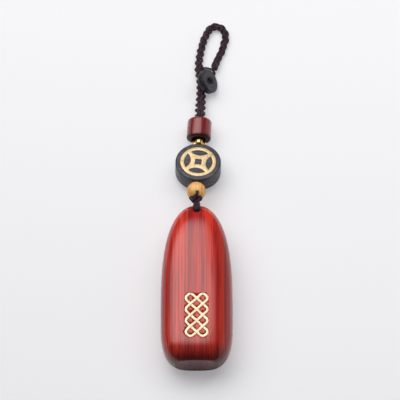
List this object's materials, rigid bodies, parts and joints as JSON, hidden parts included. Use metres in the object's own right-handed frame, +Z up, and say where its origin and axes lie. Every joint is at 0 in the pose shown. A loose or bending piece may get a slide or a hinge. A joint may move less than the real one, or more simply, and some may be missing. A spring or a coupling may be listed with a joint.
{
  "type": "amulet keychain",
  "caption": "Lacquered wooden tablet amulet on a corded string of wooden and gold beads, with a coin-inlaid disc and a braided loop closed by a button.",
  "frame": {"origin": "on the tablet's flat underside, below its widest place, on the table that the object lies on", "axes": "+Y from the tablet's flat end towards the beads and the rope loop, +Z up out of the front face with the ornament, +X to the right"},
  "size_m": [0.03, 0.1597, 0.018],
  "materials": {
    "rosewood": "lacquered, glossy",
    "crimson_wood": "polished",
    "orange_wood": "polished",
    "ebony": "satin",
    "gilding": "pale gold, satin",
    "gold_bead": "polished gold",
    "dark_cord": "braided thread",
    "button": "satin"
  },
  "bodies": {
    "tablet": {"pendant_body": "rosewood", "gold_knot_inlay": "gilding"},
    "hanger": {"hang_cord_left": "dark_cord", "hang_cord_right": "dark_cord"},
    "bead_string": {"hang_knot": "dark_cord", "knot_tail": "dark_cord", "strand_1": "dark_cord", "strand_2": "dark_cord", "strand_3": "dark_cord"},
    "round_bead": {"round_bead": "orange_wood"},
    "disc_bead": {"disc_bead": "ebony", "coin_inlay": "gilding"},
    "gold_bead_1": {"gold_bead_1": "gold_bead"},
    "gold_bead_2": {"gold_bead_2": "gold_bead"},
    "gold_bead_3": {"gold_bead_3": "gold_bead"},
    "barrel_bead": {"barrel_bead": "crimson_wood"},
    "rope": {"braided_rope": "dark_cord", "buttonhole_loop": "dark_cord", "neck_cord": "dark_cord", "button_knot": "dark_cord"},
    "button": {"button": "button"}
  },
  "joints": [
    {"name": "hanger_swing", "type": "hinge", "parent": "tablet", "child": "hanger", "pos_m": [0, 0.0486, 0.009], "axis": [0, 0, 1], "range_deg": [-35, 35]},
    {"name": "string_fold", "type": "hinge", "parent": "hanger", "child": "bead_string", "pos_m": [-0.00045, 0.0539, 0.0124], "axis": [1, 0, 0], "range_deg": [-15, 60]},
    {"name": "round_bead_spin", "type": "hinge", "parent": "bead_string", "child": "round_bead", "pos_m": [-0.00017, 0.05899, 0.00964], "axis": [0.0419, 0.8781, -0.4767], "continuous": true},
    {"name": "disc_bead_spin", "type": "hinge", "parent": "bead_string", "child": "disc_bead", "pos_m": [0.0006, 0.07207, 0.00551], "axis": [0.0596, 0.9745, -0.2164], "continuous": true},
    {"name": "gold_bead_1_spin", "type": "hinge", "parent": "bead_string", "child": "gold_bead_1", "pos_m": [0.00098, 0.08342, 0.00597], "axis": [0.061, 0.9981, 0], "continuous": true},
    {"name": "gold_bead_2_spin", "type": "hinge", "parent": "bead_string", "child": "gold_bead_2", "pos_m": [-0.00061, 0.08352, 0.0032], "axis": [0.061, 0.9981, 0], "continuous": true},
    {"name": "gold_bead_3_spin", "type": "hinge", "parent": "bead_string", "child": "gold_bead_3", "pos_m": [0.00258, 0.08332, 0.0032], "axis": [0.061, 0.9981, 0], "continuous": true},
    {"name": "barrel_bead_spin", "type": "hinge", "parent": "bead_string", "child": "barrel_bead", "pos_m": [0.00106, 0.08911, 0.005], "axis": [0.061, 0.9981, 0], "continuous": true},
    {"name": "rope_bend", "type": "hinge", "parent": "bead_string", "child": "rope", "pos_m": [0.00145, 0.0955, 0.005], "axis": [0, 0, 1], "range_deg": [-60, 60]},
    {"name": "button_spin", "type": "hinge", "parent": "rope", "child": "button", "pos_m": [0.00455, 0.11125, 0.00484], "axis": [0.807, 0.0564, 0.5878], "continuous": true}
  ]
}
